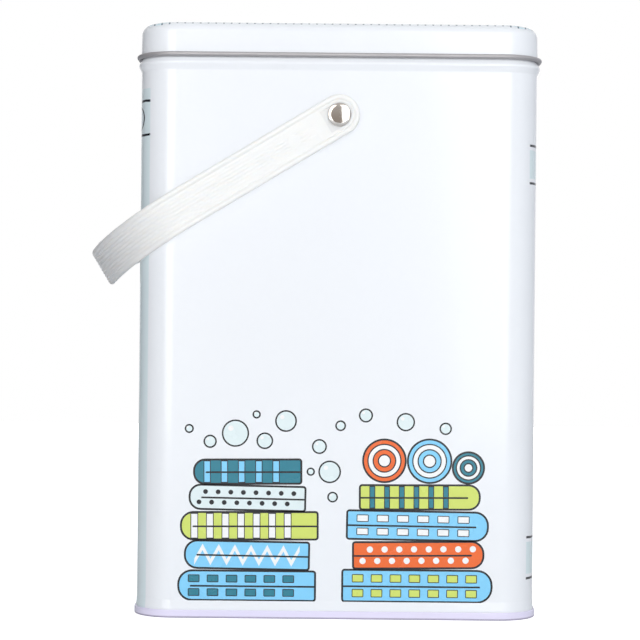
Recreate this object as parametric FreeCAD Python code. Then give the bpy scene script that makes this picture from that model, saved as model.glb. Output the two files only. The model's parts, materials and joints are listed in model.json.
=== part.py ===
"""Tinplate container for laundry powder, with a slip lid and a plastic bail handle.

Millimetres, +Z up, the front of the tin towards -Y. The origin is the middle of the
standing rim, on the surface that the tin stands on.

The tin's own pieces are bent from thin sheet, so each is drawn as the section of its
sheet and swept round the same rounded rectangle. A section is given in two
coordinates: how far it lies outside the face of the straight wall, and its height.
A bend in a sheet is folded in a few equal creases. The handle is a ribbed strap,
drawn the same way and swept along its U.
"""
import FreeCAD, Part
import math
import os

Vector = FreeCAD.Vector
ORIGIN = Vector(0, 0, 0)
X_AXIS = Vector(1, 0, 0)
Y_AXIS = Vector(0, 1, 0)
Z_AXIS = Vector(0, 0, 1)

# Tin: outside faces of the straight wall
BODY_WIDTH = 191.5
BODY_DEPTH = 135.0
CORNER_RADIUS = 18.0
TOTAL_HEIGHT = 284.0
WALL_SHEET = 0.30

# Double seam that closes the bottom
END_SHEET = 0.35
SEAM_HEIGHT = 3.8
SEAM_GAP = 0.06
HOOK_CLEARANCE = 0.30
PANEL_HEIGHT = 4.9

# Folded rim, the neck that the lid slips over, and the bead below it
RIM_BELOW_TOP = 4.6
NECK_HEIGHT = 11.4
NECK_INSET = 0.50
BEAD_PROUD = 1.45
BEAD_UPPER_SLOPE = 3.4
BEAD_LOWER_SLOPE = 5.2
RIM_FOLD_GAP = 0.6
RIM_FOLD_LENGTH = 3.5

# Lid
LID_SHEET = 0.30
LID_CLEARANCE = 0.15
LID_DRAFT = 0.35
LID_SHOULDER = 4.5
SHOULDER_CREASES = 3
LID_RIM_BAND = 9.0
LID_PANEL_DROP = 0.8
LID_PANEL_RUN = 1.6
CURL_DIAMETER = 2.50
CURL_CREASES = 2
CURL_TIP_GAP = 0.12
LID_SEAT_GAP = 0.35

# Folded side seam, inside the back wall
LOCK_WIDTH = 5.0
LOCK_FROM_CORNER = 19.0
LOCK_GROOVE = 0.35
LOCK_END_MARGIN = 3.0

# Bail handle
PIVOT_BELOW_TOP = 44.5
HANDLE_DROP_DEG = 31.2
GRIP_CLEARANCE = 30.6
HANDLE_BEND = 46.0
BEND_CREASES = 10
STRAP_WIDTH = 19.6
STRAP_BORDER = 2.20
STRAP_FLOOR = 1.40
STRAP_PAD = 1.90
BORDER_WIDTH = 2.6
BORDER_BEVEL = 0.3
STRAP_EDGE = 0.6
CURL_CLEARANCE = 0.80
RIB_COUNT = 8
RIB_HEIGHT = 0.35
RIBS_FROM_PIVOT = 14.0
POCKET_FLOOR = 1.00
POCKET_SIDE_GAP = 0.15
POCKET_END_GAP = 2.1

# Rivets and the spacers behind the strap
SPACER_RADIUS = 7.6
SPACER_GAP = 0.10
HEAD_RADIUS = 5.5
HEAD_EDGE = 1.1
HEAD_BEVEL = 0.8
HEAD_CLEARANCE = 0.10
SHANK_RADIUS = 3.0
SHANK_CLEARANCE = 0.05
TAIL_RADIUS = 4.4
TAIL_HEIGHT = 1.1

# Places that follow from the sizes above
HALF_WIDTH = BODY_WIDTH / 2
HALF_DEPTH = BODY_DEPTH / 2
RIM_TOP = TOTAL_HEIGHT - RIM_BELOW_TOP
BEAD_TOP = RIM_TOP - NECK_HEIGHT
BEAD_CREST = BEAD_TOP - BEAD_UPPER_SLOPE
BEAD_BOTTOM = BEAD_CREST - BEAD_LOWER_SLOPE
WALL_LINE = -WALL_SHEET / 2
CURL_BEND = (CURL_DIAMETER - LID_SHEET) / 2
LID_SIDE_TOP = -NECK_INSET + LID_CLEARANCE + LID_SHEET / 2
LID_SIDE_LOW = LID_SIDE_TOP + LID_DRAFT
LID_CURL_EDGE = LID_SIDE_LOW - LID_SHEET / 2 + CURL_DIAMETER
STRAP_STANDOFF = LID_CURL_EDGE + CURL_CLEARANCE
STRAP_FACE = HALF_DEPTH + STRAP_STANDOFF
PIVOT_HEIGHT = TOTAL_HEIGHT - PIVOT_BELOW_TOP
ARM_REACH = math.hypot(HALF_WIDTH, PIVOT_BELOW_TOP) + GRIP_CLEARANCE
HEAD_SEAT = STRAP_STANDOFF + POCKET_FLOOR + HEAD_CLEARANCE
POCKET_END = HEAD_RADIUS + POCKET_END_GAP
LOCK_X = HALF_WIDTH - CORNER_RADIUS - LOCK_FROM_CORNER
LOCK_BOTTOM = SEAM_HEIGHT + LOCK_END_MARGIN
LOCK_HEIGHT = BEAD_BOTTOM - LOCK_END_MARGIN - LOCK_BOTTOM

# Lines of the double seam's layers, outward from the straight wall's face
CHUCK_LINE = -WALL_SHEET - SEAM_GAP - END_SHEET / 2
PANEL_EDGE = CHUCK_LINE - CORNER_RADIUS / 2
COVER_HOOK_LINE = SEAM_GAP + END_SHEET / 2
BODY_HOOK_LINE = COVER_HOOK_LINE + END_SHEET / 2 + SEAM_GAP + WALL_SHEET / 2
SEAM_FACE_LINE = BODY_HOOK_LINE + WALL_SHEET / 2 + SEAM_GAP + END_SHEET / 2
BODY_HOOK_BOTTOM = END_SHEET + SEAM_GAP + WALL_SHEET / 2
COVER_HOOK_TOP = SEAM_HEIGHT - END_SHEET / 2


# Sections


def unit(vector):
    return Vector(vector).normalize()


def polygon(corners):
    """A filled section from its corners."""
    return Part.Face(Part.makePolygon(corners + corners[:1]))


def section_of(points):
    """A filled section from corners given as (outward, up)."""
    return polygon([Vector(outward, 0, up) for outward, up in points])


def folded(points):
    """The corners of a bent sheet's middle line, with each bend folded in equal creases.

    A point is a sharp corner (outward, up) or a bend (outward, up, radius, creases).
    """
    corners = [Vector(point[0], 0, point[1]) for point in points]
    line = []
    for i, point in enumerate(points):
        if len(point) == 2:
            line.append(corners[i])
            continue
        radius, creases = point[2:]
        back = unit(corners[i - 1] - corners[i])
        ahead = unit(corners[i + 1] - corners[i])
        half_angle = back.getAngle(ahead) / 2
        turn = math.pi - 2 * half_angle
        centre = corners[i] + unit(back + ahead) * (radius / math.sin(half_angle))
        first = corners[i] + back * (radius / math.tan(half_angle)) - centre
        last = corners[i] + ahead * (radius / math.tan(half_angle)) - centre
        reach = 1 / (math.sin(turn) * math.cos(turn / creases / 2))
        for crease in range(creases):
            angle = turn * (crease + 0.5) / creases
            arm = first * math.sin(turn - angle) + last * math.sin(angle)
            line.append(centre + arm * reach)
    return line


def moved_aside(line, distance):
    """The same line of straight runs, moved sideways by a distance."""
    moved = []
    last = len(line) - 1
    for i, corner in enumerate(line):
        into = unit(line[i] - line[i - 1]) if i else unit(line[1] - line[0])
        out = unit(line[i + 1] - line[i]) if i < last else into
        side_in = Vector(-into.z, 0, into.x)
        side_out = Vector(-out.z, 0, out.x)
        mitre = (side_in + side_out) * (1 / (1 + side_in.dot(side_out)))
        moved.append(corner + mitre * distance)
    return moved


def sheet(points, thickness):
    """The section of a bent sheet, from the middle line of the sheet."""
    line = folded(points)
    one_side = moved_aside(line, thickness / 2)
    other_side = moved_aside(line, -thickness / 2)
    return polygon(one_side + other_side[::-1])


# Solids swept round the tin


def joined(shapes):
    """One solid from pieces that meet face to face."""
    return shapes[0].multiFuse(shapes[1:]).removeSplitter()


def ring(section):
    """A section swept round the rounded rectangle of the tin."""
    pieces = []
    corner_section = section.translated(X_AXIS * CORNER_RADIUS)
    corner = corner_section.revolve(ORIGIN, Z_AXIS, 90)
    x_run = BODY_WIDTH - 2 * CORNER_RADIUS
    y_run = BODY_DEPTH - 2 * CORNER_RADIUS
    for quarter, (x_side, y_side) in enumerate([(1, 1), (-1, 1), (-1, -1), (1, -1)]):
        turned = corner.rotated(ORIGIN, Z_AXIS, 90 * quarter)
        pieces.append(turned.translated(Vector(x_side * x_run / 2, y_side * y_run / 2, 0)))
        half, run = (HALF_WIDTH, y_run) if quarter % 2 == 0 else (HALF_DEPTH, x_run)
        side = section.translated(Vector(half, -run / 2, 0)).extrude(Y_AXIS * run)
        pieces.append(side.rotated(ORIGIN, Z_AXIS, 90 * quarter))
    return joined(pieces)


def plate(offset, bottom, top):
    """A flat rounded rectangle, its edge at an offset from the wall's face."""
    x = HALF_WIDTH + offset
    y = HALF_DEPTH + offset
    box = Part.makeBox(2 * x, 2 * y, top - bottom, Vector(-x, -y, bottom))
    upright = [edge for edge in box.Edges if edge.BoundBox.ZLength > (top - bottom) / 2]
    return box.makeFillet(CORNER_RADIUS + offset, upright)


def body_wall():
    """Rolled wall: hooked at the bottom, beaded and necked at the top, its rim folded in."""
    crest = BEAD_PROUD + WALL_LINE
    neck = WALL_LINE - NECK_INSET
    hook_tip = COVER_HOOK_TOP - END_SHEET / 2 - HOOK_CLEARANCE
    rim = RIM_TOP - WALL_SHEET / 2
    fold = neck - WALL_SHEET - RIM_FOLD_GAP
    section = sheet(
        [
            (BODY_HOOK_LINE, hook_tip),
            (BODY_HOOK_LINE, BODY_HOOK_BOTTOM),
            (WALL_LINE, BODY_HOOK_BOTTOM),
            (WALL_LINE, BEAD_BOTTOM),
            (crest, BEAD_CREST),
            (neck, BEAD_TOP),
            (neck, rim),
            (fold, rim),
            (fold, rim - RIM_FOLD_LENGTH),
        ],
        WALL_SHEET,
    )
    lock_at = Vector(LOCK_X - LOCK_WIDTH / 2, HALF_DEPTH - 3 * WALL_SHEET, LOCK_BOTTOM)
    lock = Part.makeBox(LOCK_WIDTH, 2 * WALL_SHEET, LOCK_HEIGHT, lock_at)
    groove_at = Vector(LOCK_X + LOCK_WIDTH / 2, HALF_DEPTH - WALL_SHEET / 2, LOCK_BOTTOM)
    groove = Part.makeBox(LOCK_GROOVE, WALL_SHEET, LOCK_HEIGHT, groove_at)
    hole_at = Vector(0, -BODY_DEPTH, PIVOT_HEIGHT)
    hole = Part.makeCylinder(SHANK_RADIUS + SHANK_CLEARANCE, 2 * BODY_DEPTH, hole_at, Y_AXIS)
    return joined([ring(section), lock]).cut([groove, hole])


def base_end():
    """Bottom end: sunk panel, chuck wall, and the outer fold of the seam."""
    panel = PANEL_HEIGHT - END_SHEET / 2
    hook_tip = BODY_HOOK_BOTTOM + WALL_SHEET / 2 + HOOK_CLEARANCE
    section = sheet(
        [
            (PANEL_EDGE, panel),
            (CHUCK_LINE, panel),
            (CHUCK_LINE, END_SHEET / 2),
            (SEAM_FACE_LINE, END_SHEET / 2),
            (SEAM_FACE_LINE, COVER_HOOK_TOP),
            (COVER_HOOK_LINE, COVER_HOOK_TOP),
            (COVER_HOOK_LINE, hook_tip),
        ],
        END_SHEET,
    )
    middle = plate(PANEL_EDGE, panel - END_SHEET / 2, panel + END_SHEET / 2)
    return joined([ring(section), middle])


def lid_curl_height():
    """Height at which the lid's curl lies a small gap above the upper slope of the bead."""
    run = BEAD_PROUD + NECK_INSET
    rise = BEAD_TOP - BEAD_CREST
    past_crest = LID_SIDE_LOW + CURL_BEND - BEAD_PROUD
    reach = CURL_DIAMETER / 2 + LID_SEAT_GAP
    return BEAD_CREST + (reach * math.hypot(run, rise) - past_crest * rise) / run


def lid():
    """Slip lid: sunk panel, rounded shoulder, drafted side and outward curl."""
    top = TOTAL_HEIGHT - LID_SHEET / 2
    panel = top - LID_PANEL_DROP
    step = LID_SIDE_TOP - LID_RIM_BAND
    panel_edge = step - 2 * LID_PANEL_RUN
    curl = lid_curl_height()
    curl_far = LID_SIDE_LOW + 2 * CURL_BEND
    section = sheet(
        [
            (panel_edge, panel),
            (step - LID_PANEL_RUN, panel),
            (step, top),
            (LID_SIDE_TOP, top, LID_SHOULDER - LID_SHEET / 2, SHOULDER_CREASES),
            (LID_SIDE_LOW, curl - CURL_BEND, CURL_BEND, CURL_CREASES),
            (curl_far, curl - CURL_BEND, CURL_BEND, CURL_CREASES),
            (curl_far, curl + CURL_BEND, CURL_BEND, CURL_CREASES),
            (LID_SIDE_LOW + LID_SHEET + CURL_TIP_GAP, curl + CURL_BEND),
        ],
        LID_SHEET,
    )
    middle = plate(panel_edge, panel - LID_SHEET / 2, panel + LID_SHEET / 2)
    return joined([ring(section), middle])


# Handle. It is modelled with its arms along -X and its rivets on the Y axis, then turned
# to its place. Its section is drawn as (distance outward from the tin, place across it).


def strap_points(ribbed):
    """Corners of the strap's section, with ribs between its borders or with the flat pad."""
    edge = STRAP_WIDTH / 2
    inner = edge - BORDER_WIDTH
    foot = inner - BORDER_BEVEL
    floor = STRAP_FLOOR if ribbed else STRAP_PAD
    points = [
        (0, edge),
        (0, -edge),
        (STRAP_BORDER - STRAP_EDGE, -edge),
        (STRAP_BORDER, -edge + STRAP_EDGE),
        (STRAP_BORDER, -inner),
        (floor, -foot),
    ]
    if ribbed:
        pitch = 2 * foot / RIB_COUNT
        for rib in range(RIB_COUNT):
            points.append((floor + RIB_HEIGHT, -foot + (rib + 0.5) * pitch))
            points.append((floor, -foot + (rib + 1) * pitch))
    else:
        points.append((floor, foot))
    points += [
        (STRAP_BORDER, inner),
        (STRAP_BORDER, edge - STRAP_EDGE),
        (STRAP_BORDER - STRAP_EDGE, edge),
    ]
    return points


def ribbed_strap():
    """The strap from pad to pad: two arms and a middle run, joined by two creased bends."""
    route = folded(
        [
            (-RIBS_FROM_PIVOT, STRAP_FACE),
            (-ARM_REACH, STRAP_FACE, HANDLE_BEND, BEND_CREASES),
            (-ARM_REACH, -STRAP_FACE, HANDLE_BEND, BEND_CREASES),
            (-RIBS_FROM_PIVOT, -STRAP_FACE),
        ]
    )
    lines = [
        [corner + Y_AXIS * across for corner in moved_aside(route, -outward)]
        for outward, across in strap_points(True)
    ]
    faces = [polygon([line[0] for line in lines]), polygon([line[-1] for line in lines])]
    for line, before in zip(lines, lines[-1:] + lines[:-1]):
        for i in range(len(route) - 1):
            faces.append(polygon([line[i], line[i + 1], before[i + 1], before[i]]))
    return Part.Solid(Part.Shell(faces)).rotated(ORIGIN, X_AXIS, 90)


def flat_section(points):
    """A section of the flat pad, placed on the front arm in the plane of the rivets."""
    placed = section_of(points).rotated(ORIGIN, Z_AXIS, -90)
    return placed.translated(Y_AXIS * -STRAP_FACE)


def eye_cut():
    """Hole for the rivet and the pocket that its head lies in, round one way, square the other."""
    half = HEAD_RADIUS + POCKET_SIDE_GAP
    depth = STRAP_BORDER
    floor = -STRAP_FACE - POCKET_FLOOR
    hole_radius = SHANK_RADIUS + SHANK_CLEARANCE
    hole = Part.makeCylinder(hole_radius, 2 * STRAP_FACE, Y_AXIS * -1.5 * STRAP_FACE, Y_AXIS)
    round_end = Part.makeCylinder(half, depth, Y_AXIS * floor, -Y_AXIS)
    square_end = Part.makeBox(POCKET_END, depth, 2 * half, Vector(-POCKET_END, floor - depth, -half))
    return [hole, round_end, square_end]


def front_eye():
    """Flat pad with its round end about the rivet."""
    points = strap_points(False)
    above = [point for point in points if point[1] > 0]
    half = [above[0], (0, 0), (STRAP_PAD, 0)] + above[1:]
    pad = flat_section(points).extrude(X_AXIS * -RIBS_FROM_PIVOT)
    round_end = flat_section(half).revolve(ORIGIN, Y_AXIS, 180)
    return joined([pad, round_end]).cut(eye_cut())


def bail_handle():
    eye = front_eye()
    handle = joined([ribbed_strap(), eye, eye.mirror(ORIGIN, Y_AXIS)])
    return handle.rotated(ORIGIN, Y_AXIS, -HANDLE_DROP_DEG).translated(Z_AXIS * PIVOT_HEIGHT)


# Rivet and spacer, drawn as (radius, distance outward from the wall's face)


def turned_at_front(profile):
    """A profile turned about the handle's pivot, standing on the front wall's face."""
    solid = section_of(profile).revolve(ORIGIN, Z_AXIS, 360).rotated(ORIGIN, X_AXIS, 90)
    return solid.translated(Vector(0, -HALF_DEPTH, PIVOT_HEIGHT))


def front_and_back(front):
    return Part.makeCompound([front, front.rotated(ORIGIN, Z_AXIS, 180)])


def rivet():
    """Rivet set with a little play: bevelled head, shank that the handle turns on, and tail."""
    crown = HEAD_SEAT + HEAD_EDGE + HEAD_BEVEL
    tail_end = -WALL_SHEET - TAIL_HEIGHT
    return turned_at_front(
        [
            (0, tail_end),
            (TAIL_RADIUS, tail_end),
            (TAIL_RADIUS, -WALL_SHEET),
            (SHANK_RADIUS, -WALL_SHEET),
            (SHANK_RADIUS, HEAD_SEAT),
            (HEAD_RADIUS, HEAD_SEAT),
            (HEAD_RADIUS, HEAD_SEAT + HEAD_EDGE),
            (HEAD_RADIUS - HEAD_BEVEL, crown),
            (0, crown),
        ]
    )


def spacer():
    """Ring on the rivet's shank that holds the strap off the wall, clear of the lid's curl."""
    bore = SHANK_RADIUS + SHANK_CLEARANCE
    front = STRAP_STANDOFF - SPACER_GAP
    return turned_at_front([(bore, 0), (SPACER_RADIUS, 0), (SPACER_RADIUS, front), (bore, front)])


def main():
    nodes = {
        "body_wall": body_wall(),
        "base_end": base_end(),
        "lid": lid(),
        "bail_handle": bail_handle(),
        "rivets": front_and_back(rivet()),
        "spacers": front_and_back(spacer()),
    }
    os.makedirs("parts", exist_ok=True)
    for name, shape in nodes.items():
        wanted = 2 if name in ("rivets", "spacers") else 1
        if len(shape.Solids) != wanted or not shape.isValid():
            raise ValueError(f"{name} has {len(shape.Solids)} solids, or one that isn't valid")
        shape.exportStep(f"parts/{name}.step")
        print(f"{name}: {shape.Volume / 1000:.2f} cm3")


main()
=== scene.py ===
import bmesh
import bpy
import json
import math
from bpy.props import FloatProperty, FloatVectorProperty, IntProperty, PointerProperty
from mathutils import Matrix, Vector


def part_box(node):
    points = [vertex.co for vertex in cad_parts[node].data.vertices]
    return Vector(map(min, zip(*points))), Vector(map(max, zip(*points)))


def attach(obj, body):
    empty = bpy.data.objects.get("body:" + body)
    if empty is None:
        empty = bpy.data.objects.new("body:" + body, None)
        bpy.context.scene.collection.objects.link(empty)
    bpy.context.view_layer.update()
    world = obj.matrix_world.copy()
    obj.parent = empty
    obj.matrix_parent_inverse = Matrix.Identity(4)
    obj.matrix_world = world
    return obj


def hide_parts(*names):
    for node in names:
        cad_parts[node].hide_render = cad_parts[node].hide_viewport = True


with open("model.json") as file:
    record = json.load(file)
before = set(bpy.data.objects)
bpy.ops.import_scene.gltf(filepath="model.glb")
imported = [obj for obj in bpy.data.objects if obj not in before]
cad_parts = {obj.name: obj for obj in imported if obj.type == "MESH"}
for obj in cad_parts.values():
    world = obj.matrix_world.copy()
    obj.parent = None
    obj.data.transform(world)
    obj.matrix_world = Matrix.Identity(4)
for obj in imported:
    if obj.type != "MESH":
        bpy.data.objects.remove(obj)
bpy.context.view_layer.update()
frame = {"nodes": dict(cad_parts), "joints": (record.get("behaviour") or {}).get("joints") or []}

bl_info = {
    "name": "Laundry powder tin",
    "version": (1, 0, 0),
    "blender": (4, 5, 0),
    "location": "3D View > Sidebar > Tin",
    "description": "Dresses the packed model of a laundry powder tin: sheet, seam, lid, bail and print",
    "category": "Object",
}

MM = 0.001
NEAR = 1e-6
LID_LOW, LID_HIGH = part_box("lid")
WALL_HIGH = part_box("body_wall")[1]
SEAM_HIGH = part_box("base_end")[1]
PIVOT = next(Vector(joint["pos_m"]) for joint in frame["joints"] if joint["name"] == "handle_swing")

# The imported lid's curl is the widest part of the tin, and stands this far out of the flat walls
CURL_REACH = 2.5 * MM
SIDE_WALL = LID_HIGH.x - CURL_REACH
FRONT_WALL = LID_HIGH.y - CURL_REACH


# Sizes and colours for the sidebar


def length(name, description, size):
    """A length for the sidebar, given in millimetres."""
    return FloatProperty(name=name, description=description, default=size * MM, unit="LENGTH", precision=5)


def angle(name, description, degrees):
    """An angle for the sidebar."""
    return FloatProperty(name=name, description=description, default=math.radians(degrees), subtype="ANGLE")


def amount(name, description, default):
    """A plain number for the sidebar."""
    return FloatProperty(name=name, description=description, default=default, precision=3)


def tint(name, description, red, green, blue):
    """A colour for the sidebar, written as on a display and kept as light."""
    levels = [channel / 255 for channel in (red, green, blue)]
    light = [c / 12.92 if c <= 0.04045 else ((c + 0.055) / 1.055) ** 2.4 for c in levels] + [1]
    return FloatVectorProperty(name=name, description=description, default=light, size=4, subtype="COLOR")


class TinSizes(bpy.types.PropertyGroup):
    """Sheet, seam, bead and lid."""

    width: length("Width", "Across the flat side walls", 2 * SIDE_WALL / MM)
    depth: length("Depth", "Across the flat front and back walls", 2 * FRONT_WALL / MM)
    corner: length("Corner radius", "Of the upright corners", 18)
    sheet: length("Sheet", "Thickness of wall and lid", 0.30)
    rim: length("Rim height", "Top of the folded rim", WALL_HIGH.z / MM)
    flare: length("Wall flare", "How far it opens just above the seam", 0.35)
    neck_inset: length("Neck inset", "How far it is set in under the lid", 0.5)
    bead_proud: length("Bead", "How far it stands out of the wall", (WALL_HIGH.x - SIDE_WALL) / MM)
    bead_height: length("Bead height", "Height of the bead's crest", 264.6)
    seam_height: length("Seam height", "Height of the rolled bottom seam", 3.8)
    seam_reach: length("Seam reach", "How far it stands out of the wall", (SEAM_HIGH.x - SIDE_WALL) / MM)
    end_sheet: length("Bottom sheet", "Thickness of the bottom end", 0.35)
    lid_shoulder: length("Lid shoulder", "Radius of the lid's rounded edge", 5.2)
    lid_drop: length("Lid panel drop", "How far the lid's panel is sunk", 0.8)
    curl: length("Curl", "Diameter of the lid's rolled edge", 2.25)
    curl_height: length("Curl height", "Of the middle of the lid's curl", (LID_LOW.z + CURL_REACH / 2) / MM)
    lock: length("Side seam", "From the middle of the back to the side seam", 58.75)
    lock_width: length("Side seam width", "Of the folded side seam", 5)


class BailSizes(bpy.types.PropertyGroup):
    """Plastic bail and its rivets."""

    drop: angle("Drop", "Angle of the arms below level", 31.2)
    twist: angle("Twist", "How far the back half is sprung up", 3.6)
    sag: length("Sag", "How far the front half of the strap sags at the grip", 2.2)
    tighter: length("Tighter bend", "How far the back bend stands out of the front one", 5.5)
    reach: length("Reach", "From the rivets to the inner face of the grip", 136.18)
    face: length("Face", "From the middle of the tin to the inner face of an arm", 70.8)
    bend: length("Bend", "Inner radius where an arm turns into the grip", 46)
    strap: length("Strap width", "Across the strap", 19.6)
    border: length("Border", "Thickness at the strap's borders", 2.2)
    floor: length("Floor", "Thickness between the borders", 1.4)
    fuller: length("Fuller grip", "How much less the grip is sunk between the borders", 0.45)
    rounder: length("Rounder grip", "How much further the grip's edges are rounded", 0.8)
    pad: length("Pad", "Thickness of the flat pad round the rivet", 1.9)
    pad_length: length("Pad length", "From the rivet to the start of the ribs", 14)
    ribs: IntProperty(name="Ribs", description="Fine ribs between the borders", default=8, min=2)
    rib_height: length("Rib height", "Of each fine rib", 0.24)
    gate: length("Gate mark", "Radius of the moulding mark on the front arm", 3.2)
    head: length("Rivet head", "Radius of the rivet's head", 5.5)
    head_tilt: angle("Head tilt", "Of the rivets' struck faces", 1.0)
    shank: length("Rivet shank", "Radius of the rivet's shank", 3.0)


class TinColours(bpy.types.PropertyGroup):
    """Enamels, inks, metals and plastics."""

    white: tint("White enamel", "Wall and lid", 244, 246, 250)
    lilac: tint("Lilac enamel", "Bottom seam", 236, 230, 253)
    # Painted shade: a darker lilac that stands in for the shade under the bottom seam's rounded foot
    foot_shade: tint("Lilac foot shade", "Foot of the bottom seam", 178, 172, 194)
    shade: tint("Fold line", "Groove beside the folded side seam", 150, 152, 158)
    tinplate: tint("Tinplate", "Bare sheet of the curl", 188, 186, 188)
    inside: tint("Tinplate inside", "Bare sheet inside the tin", 228, 228, 230)
    steel: tint("Polished steel", "Rivets", 214, 210, 205)
    plastic: tint("Milky plastic", "Bail", 243, 242, 240)
    spacer: tint("White plastic", "Spacers", 236, 236, 232)
    sky: tint("Sky blue ink", "Print", 135, 213, 253)
    lime: tint("Lime ink", "Print", 214, 228, 110)
    orange: tint("Orange ink", "Print", 245, 108, 40)
    teal: tint("Teal ink", "Print", 38, 128, 148)
    mint: tint("Mint ink", "Print", 230, 243, 245)
    paper: tint("White ink", "Print", 250, 250, 250)
    ink: tint("Outline ink", "Print", 20, 23, 30)
    side: tint("Side tint", "Field on the left side", 228, 241, 245)
    band: tint("Side bands", "Bands on the right side", 224, 238, 241)
    check: tint("Lid check", "Fine check on top of the lid", 214, 238, 246)
    dot: tint("Lid lines", "Fine lines of the lid's check", 84, 112, 128)


class StudioSizes(bpy.types.PropertyGroup):
    """Camera, lamps and backdrop."""

    distance: length("Camera distance", "From the camera to the middle of the tin", 972.5)
    aside: length("Camera aside", "How far the camera stands to the left", 8.3)
    height: length("Camera height", "Above the floor", 142.2)
    lens: amount("Lens", "Focal length in millimetres on a 36 mm sensor", 107.0)
    roll: angle("Roll", "Turn of the camera", 0.55)
    lamps: amount("Lamps", "Strength of the two tall lamps", 2.90)
    back: amount("Back", "Strength of the lamp behind", 1.1)
    overhead: amount("Overhead", "Strength of the lamp above", 0.3)
    fill: amount("Fill", "Strength of the room's own light", 0.38)


# Nodes


def feed(node, inputs):
    """Sets or links a node's inputs, given as {name or number: number, colour, socket or Value}."""
    for name, value in dict(inputs).items():
        value = getattr(value, "socket", value)
        if isinstance(value, bpy.types.NodeSocket):
            node.id_data.links.new(value, node.inputs[name])
        else:
            node.inputs[name].default_value = value
    return node


def put(tree, kind, inputs=(), **settings):
    """Places a node with its settings and inputs."""
    node = tree.nodes.new(kind)
    for name, value in settings.items():
        setattr(node, name, value)
    return feed(node, inputs)


class Value:
    """A number in a node tree: arithmetic on it places Math nodes."""

    def __init__(self, socket):
        self.socket = socket

    def __add__(self, other):
        return maths("ADD", self, other)

    def __sub__(self, other):
        return maths("SUBTRACT", self, other)

    def __rsub__(self, other):
        return maths("SUBTRACT", other, self)

    def __mul__(self, other):
        return maths("MULTIPLY", self, other)

    def __truediv__(self, other):
        return maths("DIVIDE", self, other)

    def __abs__(self):
        return maths("ABSOLUTE", self)

    __radd__ = __add__
    __rmul__ = __mul__


def maths(operation, *values):
    """Result of a Math node; at least one of the numbers is a Value."""
    tree = next(value.socket.id_data for value in values if isinstance(value, Value))
    return Value(put(tree, "ShaderNodeMath", enumerate(values), operation=operation).outputs[0])


def ramp(value, start, end, low=0.0, high=1.0):
    """Goes from low to high as a value goes from start to end, and stays within them."""
    ends = {"Value": value, "From Min": start, "From Max": end, "To Min": low, "To Max": high}
    return Value(put(value.socket.id_data, "ShaderNodeMapRange", ends).outputs[0])


def between(value, low, high, soft):
    """Mask of the values that lie between two others, with soft ends."""
    half = (high - low) / 2
    return ramp(abs(value - (low + high) / 2), half + soft, half - soft)


def blend_of(factor, first, second):
    """Colour mixed from two others."""
    colours = {0: factor, 6: first, 7: second}
    return put(factor.socket.id_data, "ShaderNodeMix", colours, data_type="RGBA").outputs[2]


def grey(level):
    """Grey of a level."""
    return put(level.socket.id_data, "ShaderNodeCombineColor", {0: level, 1: level, 2: level}).outputs[0]


def darkened(colour, level):
    """Colour multiplied by a level."""
    tree, colours = level.socket.id_data, {0: 1.0, 6: colour, 7: grey(level)}
    return put(tree, "ShaderNodeMix", colours, data_type="RGBA", blend_type="MULTIPLY").outputs[2]


def coordinates(tree, kind="Object"):
    """Texture coordinates of a kind, as a vector."""
    return put(tree, "ShaderNodeTexCoord").outputs[kind]


def split(vector):
    """A vector's three numbers."""
    return [Value(part) for part in put(vector.id_data, "ShaderNodeSeparateXYZ", {0: vector}).outputs]


def noise(where, scale, detail, **more):
    """Value of a noise texture."""
    inputs = {"Vector": where, "Scale": scale, "Detail": detail, **more}
    return Value(put(where.id_data, "ShaderNodeTexNoise", inputs).outputs[0])


def light_path(tree, kind):
    """1 for rays of one kind, 0 for others."""
    return Value(put(tree, "ShaderNodeLightPath").outputs[kind])


# Materials


def new_group(name, **numbers):
    """A group that makes a surface from a colour and numbers: its tree, its inputs and its output node."""
    tree = bpy.data.node_groups.new(name, "ShaderNodeTree")
    for label in ("Colour", *numbers):
        kind = "NodeSocketFloat" if label in numbers else "NodeSocketColor"
        made = tree.interface.new_socket(name=label, in_out="INPUT", socket_type=kind)
        made.default_value = numbers.get(label, (1, 1, 1, 1))
    for label in ("Colour", "Roughness", "Height"):
        kind = "NodeSocketColor" if label == "Colour" else "NodeSocketFloat"
        tree.interface.new_socket(name=label, in_out="OUTPUT", socket_type=kind)
    return tree, tree.nodes.new("NodeGroupInput").outputs, tree.nodes.new("NodeGroupOutput")


def skin_group():
    """Skin of enamel, ink or moulded plastic: faint clouding, fine peel and handling marks."""
    if "moulded_skin" in bpy.data.node_groups:
        return bpy.data.node_groups["moulded_skin"]
    tree, given, made = new_group("moulded_skin", Clouding=0.03, Grain=900.0, Roughness=0.2)
    where = coordinates(tree)
    grain, smear = noise(where, given["Grain"], 2.0), noise(where, 55.0, 4.0, Roughness=0.6)
    dark = noise(where, 14.0, 3.0) * 0.6 + grain * 0.4
    colour = darkened(given["Colour"], 1.0 - dark * given["Clouding"])
    rough = ramp(smear, 0.0, 1.0, 0.82, 1.22) * given["Roughness"]
    feed(made, {"Colour": colour, "Roughness": rough, "Height": grain})
    return tree


def metal_group():
    """Face of rolled or polished metal: fine lines along X, blotches and a varying sheen."""
    if "worked_metal" in bpy.data.node_groups:
        return bpy.data.node_groups["worked_metal"]
    tree, given, made = new_group("worked_metal", Blotches=0.12, Roughness=0.2)
    where = coordinates(tree)
    drawn = put(tree, "ShaderNodeMapping", {"Vector": where, "Scale": (60.0, 60.0, 2600.0)}).outputs[0]
    lines, blotch = noise(drawn, 1.0, 3.0), noise(where, 160.0, 3.0)
    colour = darkened(given["Colour"], 1.0 - blotch * given["Blotches"])
    rough = ramp(lines, 0.0, 1.0, 0.7, 1.3) * given["Roughness"]
    feed(made, {"Colour": colour, "Roughness": rough, "Height": lines})
    return tree


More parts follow.
